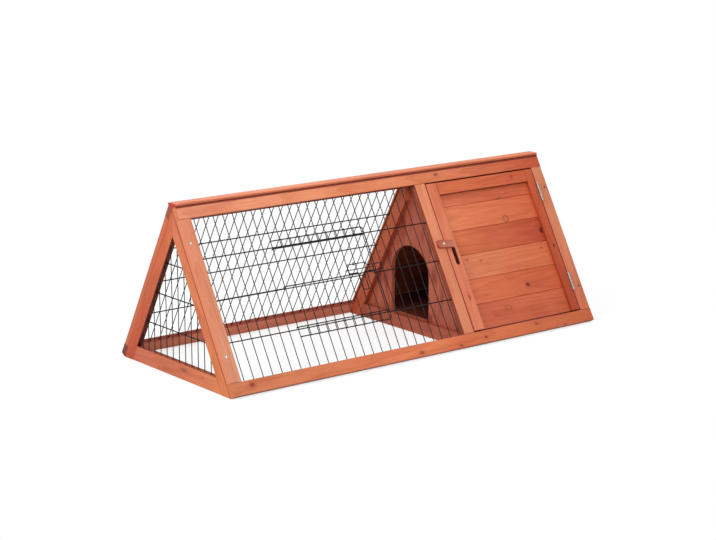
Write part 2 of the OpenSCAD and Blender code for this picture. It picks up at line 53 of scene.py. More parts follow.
def addNode(tree, kind, inputs=None, stops=None, **settings):  # a node with its settings, values and links
    node = tree.nodes.new(kind)
    for name, value in settings.items():
        setattr(node, name, value)
    for name, value in (inputs or {}).items():
        if isinstance(value, bpy.types.NodeSocket):
            tree.links.new(value, node.inputs[name])
        else:
            node.inputs[name].default_value = value
    if stops:
        ramp = node.color_ramp
        for stop in stops[1:-1]:
            ramp.elements.new(stop[0])
        for element, (place, colour) in zip(ramp.elements, stops):
            element.position = place
            element.color = toLinear(colour)
    return node


def newMaterial(name):  # a material and its tree, still empty
    material = bpy.data.materials.new(name)
    material.use_nodes = True
    material.node_tree.nodes.clear()
    return material, material.node_tree


def dress(piece, material):  # the piece takes this material and no other
    piece.data.materials.clear()
    piece.data.materials.append(material)


def seenRays(tree):  # 1 for rays that show the studio itself: looked at, mirrored or let through
    rays = addNode(tree, "ShaderNodeLightPath").outputs
    seen = addNode(tree, "ShaderNodeMath", {0: rays["Is Camera Ray"], 1: rays["Is Glossy Ray"]},
                   operation="MAXIMUM")
    seen = addNode(tree, "ShaderNodeMath", {0: seen.outputs[0], 1: rays["Is Transmission Ray"]},
                   operation="MAXIMUM")
    return seen.outputs[0]


# Camera: matched to the photograph's vanishing lines
cameraSet = {"place": (-3.0998, -3.9644, 1.3563), "turn": (76.8955, 0.1187, -37.8459), "lens": 99.42,
             "sensor": 36, "farthest": 60}
bpy.ops.object.camera_add(location=cameraSet["place"],
                          rotation=[math.radians(angle) for angle in cameraSet["turn"]])
camera = bpy.context.object
camera.name = "viewCamera"
camera.data.lens = cameraSet["lens"]
camera.data.sensor_width = cameraSet["sensor"]
camera.data.clip_end = cameraSet["farthest"]
scene.camera = camera

# Floor, world and lamps
stageSet = {
    "floorSize": 30.0, "floorColour": "#c9c8c6",
    "nearWhite": 0.72,                # white share of the floor by the hutch, where it shows the shadow
    "fadeFrom": 0.72, "fadeTo": 1.1,  # distances in metres between which the floor turns fully white
    "worldLight": 0.55,
    "lampAim": (0, 0, 0.15),
}
white = (1, 1, 1, 1)
bpy.ops.mesh.primitive_plane_add(size=stageSet["floorSize"], location=(0, 0, 0))
floor = bpy.context.object
floor.name = "studioFloor"

paper, tree = newMaterial("whitePaperSweep")  # matt paper: white to the eye, with a soft shadow
seen = seenRays(tree)
place = addNode(tree, "ShaderNodeTexCoord")
away = addNode(tree, "ShaderNodeVectorMath", {0: place.outputs["Object"]}, operation="LENGTH")
whiteness = addNode(tree, "ShaderNodeMapRange",
                    {"Value": away.outputs["Value"], "From Min": stageSet["fadeFrom"],
                     "From Max": stageSet["fadeTo"], "To Min": stageSet["nearWhite"]})
share = addNode(tree, "ShaderNodeMath", {0: seen, 1: whiteness.outputs[0]}, operation="MULTIPLY")
sheet = addNode(tree, "ShaderNodeMix", {0: seen, 6: toLinear(stageSet["floorColour"]), 7: white},
                data_type="RGBA")
matt = addNode(tree, "ShaderNodeBsdfDiffuse", {"Color": sheet.outputs[2]})
glow = addNode(tree, "ShaderNodeEmission", {"Color": white, "Strength": 1.0})
mixed = addNode(tree, "ShaderNodeMixShader", {0: share.outputs[0], 1: matt.outputs[0], 2: glow.outputs[0]})
addNode(tree, "ShaderNodeOutputMaterial", {"Surface": mixed.outputs[0]})
dress(floor, paper)

world = bpy.data.worlds.new("studioWorld")
world.use_nodes = True
scene.world = world
tree = world.node_tree
tree.nodes.clear()
soft = addNode(tree, "ShaderNodeBackground", {"Color": white, "Strength": stageSet["worldLight"]})
backdrop = addNode(tree, "ShaderNodeBackground", {"Color": white, "Strength": 1.0})
mixed = addNode(tree, "ShaderNodeMixShader",
                {0: seenRays(tree), 1: soft.outputs[0], 2: backdrop.outputs[0]})
addNode(tree, "ShaderNodeOutputWorld", {"Surface": mixed.outputs[0]})

lampSet = [
    {"name": "keySoftbox", "place": (-1.6, -3.4, 3.4), "size": 2.2, "power": 95},
    {"name": "topSoftbox", "place": (0.8, 0.4, 3.6), "size": 2.6, "power": 40},
    {"name": "leftSoftbox", "place": (-4.0, -0.6, 1.9), "size": 2.2, "power": 102},
]
for lamp in lampSet:
    bpy.ops.object.light_add(type="AREA", location=lamp["place"])
    light = bpy.context.object
    light.name = lamp["name"]
    light.data.size = lamp["size"]
    light.data.energy = lamp["power"]
    beam = Vector(stageSet["lampAim"]) - light.location
    light.rotation_euler = beam.to_track_quat("-Z", "Y").to_euler()
scene.view_settings.view_transform = "Standard"
print("camera, floor and lamps ready")

# The slope panels' own axes: x along the hutch, v up the slope, n out of it, in mm from the left foot
slopeSet = {"angle": math.radians(60.3), "foot": (-590.0, -254.0, 7.927)}
halfTurn = Matrix.Rotation(math.pi, 4, "Z")
frontAxes = (Matrix.Translation([k / 1000 for k in slopeSet["foot"]])
             @ Matrix.Rotation(slopeSet["angle"], 4, "X"))


def onSlope(x, v, n=0.0):  # a point of the front slope, in metres
    return frontAxes @ Vector((x / 1000, v / 1000, n / 1000))


def boardTurn(along, width):  # the turn that brings a board's grain to X and its width to Y
    return Matrix((along, width, Vector(along).cross(Vector(width)))).to_euler()


rise = (math.cos(slopeSet["angle"]), math.sin(slopeSet["angle"]))
frontRise, frontOut = (0, rise[0], rise[1]), (0, -rise[1], rise[0])
backRise, backOut = (0, -rise[0], rise[1]), (0, rise[1], rise[0])
lies = {
    "frontAlong": boardTurn((1, 0, 0), frontRise), "frontUp": boardTurn(frontRise, (-1, 0, 0)),
    "backAlong": boardTurn((1, 0, 0), backRise), "backUp": boardTurn(backRise, (-1, 0, 0)),
    "frontLeg": boardTurn(frontRise, frontOut), "backLeg": boardTurn(backRise, backOut),
    "level": boardTurn((1, 0, 0), (0, 1, 0)), "bearer": boardTurn((0, 1, 0), (-1, 0, 0)),
    "endBoard": boardTurn((0, 1, 0), (0, 0, 1)), "upright": boardTurn((0, 0, 1), (0, 1, 0)),
}

# What sets each board's stained fir apart, in mm.
# lie: how its grain runs. colours: from its left or lower end to the other. ends: its two end grains.
# knots: (x, v, long, wide, tone), on the slope for boards of the front, else from the board's middle.
# A tone below 0 is a sound knot that shows as a ring, and the darkest knots are dead ones.
# sides: how far its low and high side faces are covered by the colour "shade", a painted shade where they
# face away from the light; on the front left stile a lighter painted tone for its lit side.
# seamShade: a painted shade line on its face beside a side, where the cap, a gap or a joint shades it,
# (from, to, tone). inside: which face is inside the house, painted darker there as shade.
# pocket: the finger slot's x, v, length, width and how deep the painted shade on its walls starts.
firLooks = {
    # the top rail's seam line high up is painted shadow under the ridge cap
    "front_top_rail": {"lie": "frontAlong", "colours": ("#db9071", "#e8966c", "#c25531"),
                       "knots": [(811, 471, 8, 5, 0.7)], "sides": {"low": 0.85},
                       "seamShade": {"high": (3, 7.5, 0.95)}, "ends": ("#c26c46", "#b8603e")},
    "front_bottom_rail": {"lie": "frontAlong", "colours": ("#c87b57", "#dc7f54", "#c2643b"),
                          "knots": [(59, 22, 8, 6, 0.8), (579, 10, 9, 6, 0.7), (709, 4, 6, 4, 0.8),
                                    (797, 15, 6, 4, 0.8), (978, 21, 7, 4, 0.7), (1075, 4, 6, 3, 0.7)],
                          "sides": {"low": 0.5, "high": 0.7}, "ends": ("#bd6a3e", "#a85636")},
    # the front left stile's lit side is painted in its own lighter shade colour
    "front_left_stile": {"lie": "frontUp", "colours": ("#d09072", "#d48665"), "sides": {"high": 1.0},
                         "shade": "#c97451"},
    "front_mid_stile": {"lie": "frontUp", "colours": ("#d38260", "#e4916c"), "sides": {"high": 0.75}},
    "front_right_stile": {"lie": "frontUp", "colours": ("#d07958", "#d88e69")},
    "back_top_rail": {"lie": "backAlong", "colours": ("#d1865f", "#d2845c"),
                      "ends": ("#8a4028", "#a8502f")},
    "back_bottom_rail": {"lie": "backAlong", "colours": ("#e88f6f", "#e48c6e"), "sides": {"high": 0.85},
                         "ends": ("#5e1a0e", "#a8502f")},
    "back_left_stile": {"lie": "backUp", "colours": ("#ce764f", "#d57b53")},
    "back_mid_stile": {"lie": "backUp", "colours": ("#cb704a", "#d0774f")},
    "back_right_stile": {"lie": "backUp", "colours": ("#ce764f", "#c76c43")},
    "ridge_cap": {"lie": "level", "colours": ("#e99671", "#da7c50"), "ends": ("#a8281a", "#b85a3c")},
    "left_end_front_leg": {"lie": "frontLeg", "colours": ("#d27c48", "#c9734e"),
                           "seamShade": {"high": (0, 3.4, 0.95)}},
    "left_end_back_leg": {"lie": "backLeg", "colours": ("#b64924", "#cb6f42"), "sides": {"low": 0.97},
                          "shade": "#3a0c06", "ends": ("#4a160c", "#a8502f")},
    "left_end_rail": {"lie": "endBoard", "colours": ("#d8895c", "#c26748"), "sides": {"high": 0.8},
                      "knots": [(-37, 6, 18, 6, 0.6), (44, -8, 9, 4, 0.3), (-120, 4, 6, 3, 0.3)]},
    "partition_back_leg": {"lie": "backLeg", "colours": ("#c9623f", "#cf6a46"), "sides": {"low": 0.3},
                           "knots": [(-5, 0, 5, 4, 0.7)]},
    "partition_rail": {"lie": "endBoard", "colours": ("#bb6349", "#b55c44")},
    "right_end_front_leg": {"lie": "frontLeg", "colours": ("#d0734a", "#d88055")},
    "right_end_back_leg": {"lie": "backLeg", "colours": ("#c96a42", "#d0734a")},
    "right_end_rail": {"lie": "endBoard", "colours": ("#cf764f", "#c76d45"),
                       "knots": [(-90, 6, 9, 5, 0.5)]},
    "partition_panel": {"lie": "upright", "colours": ("#c56f55", "#c0644d"), "blotch": (0.026, "#c9a396")},
    "floor_bearer_left": {"lie": "bearer", "colours": ("#bd6645", "#b66041")},
    "floor_bearer_right": {"lie": "bearer", "colours": ("#b66041", "#bd6645")},
    "door_lock_stile": {"lie": "frontUp", "colours": ("#da8260", "#da7f5d"),
                        "knots": [(789, 128, 9, 4, 0.7)], "pocket": (788, 243, 50, 13, 1),
                        "ends": ("#5a160c", "#b86040")},
    "door_hinge_stile": {"lie": "frontUp", "colours": ("#b64d2c", "#c15931"),
                         "knots": [(1131, 223, 7, 4, 0.9)], "ends": ("#5a160c", "#a8502f")},
    "door_top_rail": {"lie": "frontAlong", "colours": ("#d17046", "#c75d38"),
                      "knots": [(1065, 431, 6, 5, 0.55)], "sides": {"low": 0.7}},
    "turn_button": {"lie": "frontAlong", "colours": ("#b4604a", "#c47862")},
}
doorColours = [("#cb6b4c", "#cb6943"), ("#d4744e", "#ca653a"), ("#dc8762", "#cf6c42"),
               ("#d97b51", "#b24526"), ("#e2875d", "#ce653b"), ("#da7d5a", "#cd6138")]  # from the lowest up
doorKnots = {1: [(911, 80, 11, 6, -0.95)], 2: [(1002, 136, 8, 7, 0.85), (852, 124, 10, 3, 0.3)],
             3: [(829, 229, 4, 3, 0.6), (873, 222, 4, 3, 0.6), (1093, 226, 5, 3, 0.6)],
             4: [(1114, 274, 9, 9, 0.95)], 5: [(1004, 322, 9, 8, -0.9)], 6: [(1003, 379, 9, 3, 0.7)]}
for i, pair in enumerate(doorColours, 1):
    firLooks[f"door_plank_{i}"] = {"lie": "frontAlong", "colours": pair, "knots": doorKnots[i]}
# the lowest door plank's dark line along its bottom edge is painted shade from the gap below the door
firLooks["door_plank_1"]["seamShade"] = {"low": (0, 2.5, 0.85)}
for i in (3, 4):  # the finger slot goes through these two
    firLooks[f"door_plank_{i}"]["pocket"] = (788, 243, 13, 50, -1)
for i, colour in enumerate(["#c46a4c", "#ba6045", "#c87052", "#bf6548", "#c46a4a", "#bb6246"], 1):
    firLooks[f"back_plank_{i}"] = {"lie": "backAlong", "colours": (colour, "#c1674a"), "inside": 1}
for i, colour in enumerate(["#c96f4f", "#c06547", "#cd7553", "#c46a4b", "#c06748"], 1):
    firLooks[f"right_end_plank_{i}"] = {"lie": "endBoard", "colours": (colour, "#c56c4d"), "inside": -1}
# the house's floor boards take a very dark colour: painted shade inside the closed house
for i, colour in enumerate(["#612a20", "#5b251c", "#642c22", "#5d271e"], 1):
    firLooks[f"floor_plank_{i}"] = {"lie": "level", "colours": (colour, "#5d271e")}

firSet = {
    "ringSpacing": 0.0065,     # year rings of fast grown fir, 6.5 mm
    "ringRun": {"Distortion": 1.4, "Detail": 2.0, "Detail Scale": 0.35},  # rings are never quite round
    "ringTones": [(0.0, "#ffffff"), (0.5, "#fcf9f7"), (0.9, "#f2e7e0"), (1.0, "#fdfbfa")],
    "pith": 0.055,             # distance from the face to the heart of the log
    "heart": (0.6, 0.5, 1.2),  # how far the heart strays: in half widths, least and most pith distances
    "tilt": (0.010, 0.035, 0.02),  # how far boards are sawn off the log's line: least, most, sideways
    "fibre": 0.0022,           # fibre streaks, drawn at 2.2 mm because the real 0.5 mm is too fine to show
    "fibreRun": 14,            # streaks per metre along the grain
    "fibreTones": [(0.3, "#e7dad3"), (0.7, "#ffffff")],
    "fibreShare": 0.9,
    "blotch": (0.070, "#efdfd8"),  # patches 70 mm wide where the stain went in deeper
    "blotchRun": 0.35,         # they are about three times as long as wide
    "blotchFrom": 0.32,        # noise level up to which a patch has its deepest tone
    "blotchTones": [(0.5, "#fbf7f4"), (0.7, "#ffffff")],
    "shift": 9,                # boards are cut from far apart places in the pattern
    "wander": (3.0, 16, 16),   # slow bends of the grain, waves per metre
    "wanderReach": (0.004, 0.020, 0.020),
    "bowFrom": 3.4, "bowTo": 0.4, "bow": 0.85,  # how the grain bows round a knot, in knot sizes
    "knotRing": ((1.4, 1.0), (0.55, 0.9)),  # where a sound knot's ring starts and is full, out and in
    "knotHalo": (2.2, 0.9, 0.45), "knotCore": (1.1, 0.6, 1.0),  # start, full, share of the knot's tone
    "ringColour": "#9c4a2c", "haloColour": "#a3492f", "knotColour": "#7a3220",
    "deadTone": 0.8, "deadColour": "#541608",  # knots with more tone than this are dead and nearly black
    "arris": 0.0022, "arrisTone": 0.3,  # painted shade: the darker line along each arris, partly stain gathered there
    "tip": (0.0012, 0.0002, 0.5),       # and the one round each end
    "arrisShadeColour": "#b5563a",
    "skin": (0.0008, 0.0002),  # how near a side or end its own colour starts and is full
    "endTone": 0.9,            # how far an end grain's colour covers the stain
    "shadeColour": "#6b1a0c",  # painted shade on side faces turned from the light and on seam lines
    "indoorShade": (0.0025, 0.0005, 0.12), "indoorShadeColour": "#2b0f09",  # painted shade on the faces inside the closed house
    "slotEdge": (0.0004, 0.0001), "slotFade": 0.001, "slotShadeTone": 0.9,
    "slotShadeColour": "#3d0a06",   # painted shade on the finger slot's walls
    "gloss": {"From Min": 0.3, "From Max": 0.7, "To Min": 0.57, "To Max": 0.45},  # duller between fibres
    "relief": {"Strength": 0.35, "Distance": 0.0004},
}


def firGrain(tree, look, turn, middle, half, chance):  # the patterns behind a board's colour and relief
    place = addNode(tree, "ShaderNodeTexCoord")
    grain = addNode(tree, "ShaderNodeMapping", {"Vector": place.outputs["Object"], "Rotation": turn,
                                                "Location": -middle}).outputs[0]
    shift = [chance.uniform(-firSet["shift"], firSet["shift"]) for axis in range(3)]
    wander = addNode(tree, "ShaderNodeMapping", {"Vector": grain, "Scale": firSet["wander"],
                                                 "Location": shift})
    wander = addNode(tree, "ShaderNodeTexNoise", {"Vector": wander.outputs[0], "Scale": 1.0, "Detail": 2.0})
    wander = addNode(tree, "ShaderNodeVectorMath", {0: wander.outputs["Color"], 1: (0.5, 0.5, 0.5)},
                     operation="SUBTRACT")
    wander = addNode(tree, "ShaderNodeVectorMath", {0: wander.outputs[0], 1: firSet["wanderReach"]},
                     operation="MULTIPLY")
    flow = addNode(tree, "ShaderNodeVectorMath", {0: grain, 1: wander.outputs[0]},
                   operation="ADD").outputs[0]
    field, knots = flow, []
    for x, v, long, wide, tone in look.get("knots", []):
        onFront = look["lie"] in ("frontAlong", "frontUp")
        knotAt = turn.to_matrix() @ onSlope(x, v) - middle if onFront else Vector((x / 1000, v / 1000, 0))
        size = Vector((long / 1000, wide / 1000))
        near = addNode(tree, "ShaderNodeMapping",
                       {"Vector": flow, "Scale": (1 / size.x, 1 / size.y, 0),
                        "Location": (-knotAt.x / size.x, -knotAt.y / size.y, 0)}).outputs[0]
        reach = addNode(tree, "ShaderNodeVectorMath", {0: near}, operation="LENGTH").outputs["Value"]
        pull = addNode(tree, "ShaderNodeMapRange",
                       {"Value": reach, "From Min": firSet["bowFrom"], "From Max": firSet["bowTo"]},
                       interpolation_type="SMOOTHSTEP")
        bow = addNode(tree, "ShaderNodeVectorMath", {0: near, 1: (0, -firSet["bow"] * size.y, 0)},
                      operation="MULTIPLY")
        bow = addNode(tree, "ShaderNodeVectorMath", {0: bow.outputs[0], "Scale": pull.outputs[0]},
                      operation="SCALE")
        field = addNode(tree, "ShaderNodeVectorMath", {0: field, 1: bow.outputs[0]},
                        operation="ADD").outputs[0]
        knots.append((reach, tone))
    sideways, nearest, farthest = firSet["heart"]
    heart = Vector((0, chance.uniform(-sideways, sideways) * half.y,
                    -chance.uniform(nearest, farthest) * firSet["pith"]))
    least, most, turned = firSet["tilt"]
    tilt = (0, chance.choice((-1, 1)) * chance.uniform(least, most), chance.uniform(-turned, turned))
    log = addNode(tree, "ShaderNodeMapping", {"Vector": field, "Rotation": tilt, "Location": -heart})
    ringScale = 2 * math.pi / 20 / firSet["ringSpacing"]  # the wave has 20 radians per unit
    rings = addNode(tree, "ShaderNodeTexWave",
                    {"Vector": log.outputs[0], "Scale": ringScale, **firSet["ringRun"]},
                    wave_type="RINGS", rings_direction="X", wave_profile="SAW").outputs["Fac"]
    across = 1 / firSet["fibre"]
    streak = addNode(tree, "ShaderNodeMapping", {"Vector": flow, "Location": shift,
                                                 "Scale": (firSet["fibreRun"], across, across)})
    streak = addNode(tree, "ShaderNodeTexNoise", {"Vector": streak.outputs[0], "Scale": 1.0, "Detail": 3.0,
                                                  "Roughness": 0.6}).outputs["Fac"]
    across = 1 / look.get("blotch", firSet["blotch"])[0]
    patch = addNode(tree, "ShaderNodeMapping", {"Vector": grain, "Location": shift,
                                                "Scale": (firSet["blotchRun"] * across, across, across)})
    patch = addNode(tree, "ShaderNodeTexNoise", {"Vector": patch.outputs[0], "Scale": 1.0,
                                                 "Detail": 3.0}).outputs["Fac"]
    return grain, knots, rings, streak, patch


def knotLayers(tree, knots):  # a sound knot's ring, or another knot's halo and core
    layers = []
    for reach, tone in knots:
        if tone < 0:
            outer, inner = [addNode(tree, "ShaderNodeMapRange", {"Value": reach, "From Min": start,
                                                                 "From Max": full, "To Max": -tone})
                            for start, full in firSet["knotRing"]]
            ring = addNode(tree, "ShaderNodeMath", {0: outer.outputs[0], 1: inner.outputs[0]},
                           operation="MINIMUM")
            layers.append((ring.outputs[0], toLinear(firSet["ringColour"]), "MIX"))
            continue
        core = firSet["deadColour" if tone > firSet["deadTone"] else "knotColour"]
        for (start, full, share), colour in ((firSet["knotHalo"], firSet["haloColour"]),
                                             (firSet["knotCore"], core)):
            mark = addNode(tree, "ShaderNodeMapRange",
                           {"Value": reach, "From Min": start, "From Max": full, "To Max": share * tone},
                           interpolation_type="SMOOTHSTEP")
            layers.append((mark.outputs[0], toLinear(colour), "MIX"))
    return layers


def arrisShadeLayer(tree, half, grain):  # painted shade: the darker line along the arrises and round the two ends, partly stain gathered there
    size = addNode(tree, "ShaderNodeVectorMath", {0: grain}, operation="ABSOLUTE")
    edge = addNode(tree, "ShaderNodeSeparateXYZ", {0: size.outputs[0]}).outputs
    rim = addNode(tree, "ShaderNodeMapRange",
                  {"Value": edge[1], "From Min": half.y - firSet["arris"], "From Max": half.y,
                   "To Max": firSet["arrisTone"]}, interpolation_type="SMOOTHSTEP")
    start, full, tone = firSet["tip"]
    tip = addNode(tree, "ShaderNodeMapRange",
                  {"Value": edge[0], "From Min": half.x - start, "From Max": half.x - full, "To Max": tone},
                  interpolation_type="SMOOTHSTEP")
    arrisShade = addNode(tree, "ShaderNodeMath", {0: rim.outputs[0], 1: tip.outputs[0]}, operation="MAXIMUM")
    return arrisShade.outputs[0], toLinear(firSet["arrisShadeColour"]), "MULTIPLY"


def shadeLayers(tree, look, half, split):  # painted shade on side faces turned from the light, in seam lines beside them and on the face inside the house
    layers = []
    start, full = firSet["skin"]
    for side, sign in (("low", -1), ("high", 1)):
        outward = addNode(tree, "ShaderNodeMath", {0: split[1], 1: sign}, operation="MULTIPLY").outputs[0]
        if side in look.get("sides", {}):
            deep = addNode(tree, "ShaderNodeMapRange",
                           {"Value": outward, "From Min": half.y - start, "From Max": half.y - full,
                            "To Max": look["sides"][side]})
            layers.append((deep.outputs[0], toLinear(look.get("shade", firSet["shadeColour"])), "MIX"))
        if side in look.get("seamShade", {}):
            near, far, tone = look["seamShade"][side]
            deep = addNode(tree, "ShaderNodeMapRange",
                           {"Value": outward, "From Min": half.y - far / 1000,
                            "From Max": half.y - near / 1000, "To Max": tone},
                           interpolation_type="SMOOTHSTEP")
            layers.append((deep.outputs[0], toLinear(firSet["shadeColour"]), "MIX"))
    # painted shade on the face inside the house
    if "inside" in look:
        start, full, tone = firSet["indoorShade"]
        inward = addNode(tree, "ShaderNodeMath", {0: split[2], 1: look["inside"]}, operation="MULTIPLY")
        deep = addNode(tree, "ShaderNodeMapRange",
                       {"Value": inward.outputs[0], "From Min": half.z - start, "From Max": half.z - full,
                        "To Max": tone})
        layers.append((deep.outputs[0], toLinear(firSet["indoorShadeColour"]), "MIX"))
    return layers


def slotShadeLayer(tree, pocket, slotAt, half, grain, split):  # painted shade on the walls of the door's finger slot
    long, wide, depth = [size / 1000 for size in pocket[2:]]
    off = addNode(tree, "ShaderNodeVectorMath", {0: grain, 1: (slotAt.x, slotAt.y, 0)},
                  operation="SUBTRACT")
    off = addNode(tree, "ShaderNodeVectorMath", {0: off.outputs[0]}, operation="ABSOLUTE")
    off = addNode(tree, "ShaderNodeSeparateXYZ", {0: off.outputs[0]}).outputs
    start, full = firSet["slotEdge"]
    masks = [addNode(tree, "ShaderNodeMapRange",
                     {"Value": value, "From Min": length / 2 + start, "From Max": length / 2 + full})
             for value, length in ((off[0], long), (off[1], wide))]
    below = addNode(tree, "ShaderNodeMapRange",
                    {"Value": split[2], "From Min": half.z - depth,
                     "From Max": half.z - depth - firSet["slotFade"], "To Max": firSet["slotShadeTone"]})
    deep = addNode(tree, "ShaderNodeMath", {0: masks[0].outputs[0], 1: masks[1].outputs[0]},
                   operation="MULTIPLY")
    deep = addNode(tree, "ShaderNodeMath", {0: deep.outputs[0], 1: below.outputs[0]}, operation="MULTIPLY")
    return deep.outputs[0], toLinear(firSet["slotShadeColour"]), "MIX"


def endLayers(tree, look, half, split):  # the two end grains
    layers = []
    start, full = firSet["skin"]
    for colour, sign in zip(look.get("ends", ()), (-1, 1)):
        outward = addNode(tree, "ShaderNodeMath", {0: split[0], 1: sign}, operation="MULTIPLY")
        deep = addNode(tree, "ShaderNodeMapRange",
                       {"Value": outward.outputs[0], "From Min": half.x - start, "From Max": half.x - full,
                        "To Max": firSet["endTone"]})
        layers.append((deep.outputs[0], toLinear(colour), "MIX"))
    return layers


def stainedFir(name, look):
    # Planed fir under red-brown satin stain: fine grain, darker late wood, a soft sheen and small knots
    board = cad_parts[name]
    turn = Euler(lies[look["lie"]])
    points = [turn.to_matrix() @ v.co for v in board.data.vertices]
    low = Vector([min(p[i] for p in points) for i in range(3)])
    high = Vector([max(p[i] for p in points) for i in range(3)])
    middle, half = (low + high) / 2, (high - low) / 2
    material, tree = newMaterial("stainedFir_" + name)
    grain, knots, rings, streak, patch = firGrain(tree, look, turn, middle, half, random.Random(name))
    split = addNode(tree, "ShaderNodeSeparateXYZ", {0: grain}).outputs
    along = addNode(tree, "ShaderNodeMapRange", {"Value": split[0], "From Min": -half.x,
                                                 "From Max": half.x})
    last = len(look["colours"]) - 1
    stain = addNode(tree, "ShaderNodeValToRGB", {0: along.outputs[0]},
                    stops=[(k / last, colour) for k, colour in enumerate(look["colours"])]).outputs[0]
    deepest = (firSet["blotchFrom"], look.get("blotch", firSet["blotch"])[1])
    lateWood, fibre, blotch = [addNode(tree, "ShaderNodeValToRGB", {0: pattern}, stops=tones).outputs[0]
                               for pattern, tones in ((rings, firSet["ringTones"]),
                                                      (streak, firSet["fibreTones"]),
                                                      (patch, [deepest] + firSet["blotchTones"]))]
    layers = [(1.0, lateWood, "MULTIPLY"), (firSet["fibreShare"], fibre, "MULTIPLY"),
              (1.0, blotch, "MULTIPLY")]
    layers += knotLayers(tree, knots) + [arrisShadeLayer(tree, half, grain)] + shadeLayers(tree, look, half, split)
    if "pocket" in look:
        slotAt = turn.to_matrix() @ onSlope(*look["pocket"][:2]) - middle
        layers.append(slotShadeLayer(tree, look["pocket"], slotAt, half, grain, split))
    for share, colour, blend in layers + endLayers(tree, look, half, split):
        stain = addNode(tree, "ShaderNodeMix", {0: share, 6: stain, 7: colour}, data_type="RGBA",
                        blend_type=blend).outputs[2]
    relief = addNode(tree, "ShaderNodeMath", {0: rings, 1: streak}, operation="ADD")
    bump = addNode(tree, "ShaderNodeBump", {"Height": relief.outputs[0], **firSet["relief"]})
    gloss = addNode(tree, "ShaderNodeMapRange", {"Value": streak, **firSet["gloss"]})
    surface = addNode(tree, "ShaderNodeBsdfPrincipled",
                      {"Base Color": stain, "Roughness": gloss.outputs[0], "IOR": 1.5,
                       "Specular IOR Level": 0.3, "Normal": bump.outputs[0]})
    addNode(tree, "ShaderNodeOutputMaterial", {"Surface": surface.outputs[0]})
    dress(board, material)


for name, look in firLooks.items():
    stainedFir(name, look)
print("stained boards:", len(firLooks))

# Wire and fittings
wireSet = {
    "tones": [(0.35, "#070808"), (0.7, "#0e0f10")],
    "gloss": {"From Min": 0.3, "From Max": 0.7, "To Min": 0.36, "To Max": 0.50},
    "grit": 0.0005,  # the powder coat's fine orange peel, 0.5 mm
    "dust": 90.0,    # slightly paler patches of about 11 mm
}
wireBlack, tree = newMaterial("blackCoatedSteelWire")  # powder coat: near black, a thin bright line on top
place = addNode(tree, "ShaderNodeTexCoord")
peel = addNode(tree, "ShaderNodeTexNoise", {"Vector": place.outputs["Object"], "Scale": 1 / wireSet["grit"],
                                            "Detail": 2.0})
dust = addNode(tree, "ShaderNodeTexNoise", {"Vector": place.outputs["Object"], "Scale": wireSet["dust"],
                                            "Detail": 3.0})
tone = addNode(tree, "ShaderNodeValToRGB", {0: dust.outputs["Fac"]}, stops=wireSet["tones"])
gloss = addNode(tree, "ShaderNodeMapRange", {"Value": dust.outputs["Fac"], **wireSet["gloss"]})
bump = addNode(tree, "ShaderNodeBump", {"Strength": 0.2, "Distance": 0.0001, "Height": peel.outputs["Fac"]})
surface = addNode(tree, "ShaderNodeBsdfPrincipled",
                  {"Base Color": tone.outputs[0], "Roughness": gloss.outputs[0], "IOR": 1.5,
                   "Specular IOR Level": 0.15, "Normal": bump.outputs[0]})
addNode(tree, "ShaderNodeOutputMaterial", {"Surface": surface.outputs[0]})


def zincPlate(name, look):  # grey steel with the slightly cloudy look of bright zinc plating
    material, tree = newMaterial(name)
    place = addNode(tree, "ShaderNodeTexCoord")
    cloud = addNode(tree, "ShaderNodeTexNoise", {"Vector": place.outputs["Object"], "Scale": look["cloud"],
                                                 "Detail": 3.0}).outputs["Fac"]
    tone = addNode(tree, "ShaderNodeValToRGB", {0: cloud}, stops=look["tones"]).outputs[0]
    # darker towards the house end
    if "houseEndDark" in look:
        start, full, share, colour = look["houseEndDark"]
        split = addNode(tree, "ShaderNodeSeparateXYZ", {0: place.outputs["Object"]})
        houseEndDark = addNode(tree, "ShaderNodeMapRange", {"Value": split.outputs[0], "From Min": start,
                                                    "From Max": full, "To Max": share})
        tone = addNode(tree, "ShaderNodeMix", {0: houseEndDark.outputs[0], 6: tone, 7: toLinear(colour)},
                       data_type="RGBA").outputs[2]
    gloss = addNode(tree, "ShaderNodeMapRange", {"Value": cloud, **look["gloss"]})
    surface = addNode(tree, "ShaderNodeBsdfPrincipled", {"Base Color": tone, "Roughness": gloss.outputs[0],
                                                         "Metallic": 1.0})
    addNode(tree, "ShaderNodeOutputMaterial", {"Surface": surface.outputs[0]})
    return material


hingeZincSet = {  # clouds per metre, their tones, and the roughness between which they vary
    "cloud": 220.0, "tones": [(0.3, "#85878a"), (0.7, "#a0a2a5")],
    "gloss": {"To Min": 0.42, "To Max": 0.58},
}
screwZincSet = {
    "cloud": 500.0, "tones": [(0.3, "#b4b6b8"), (0.7, "#dcdddd")],
    "gloss": {"To Min": 0.3, "To Max": 0.5},
    "houseEndDark": (0.2, 0.4, 0.85, "#3a2c26"),  # the screws turn darker towards the house end: from, full, share and colour
}
zincSteel = zincPlate("zincPlatedSteel", hingeZincSet)       # reads as matt grey
screwZinc = zincPlate("zincPlatedScrewSteel", screwZincSet)  # reads as bright dots at the run

for name in ("front_mesh", "back_mesh", "left_end_mesh", "mesh_door", "latch_guides", "latch_bolt"):
    dress(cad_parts[name], wireBlack)
for name in ("hinge_frame_leaves", "hinge_door_leaves", "hinge_pins"):
    dress(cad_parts[name], zincSteel)
print("wire and fittings finished")


def pickFaces(piece, wanted):  # in edit mode: selects the faces whose normal passes the test
    bpy.ops.mesh.select_mode(type="FACE")
    bpy.ops.object.mode_set(mode="OBJECT")
    for face in piece.data.polygons:
        face.select = wanted(face.normal)
    bpy.ops.object.mode_set(mode="EDIT")


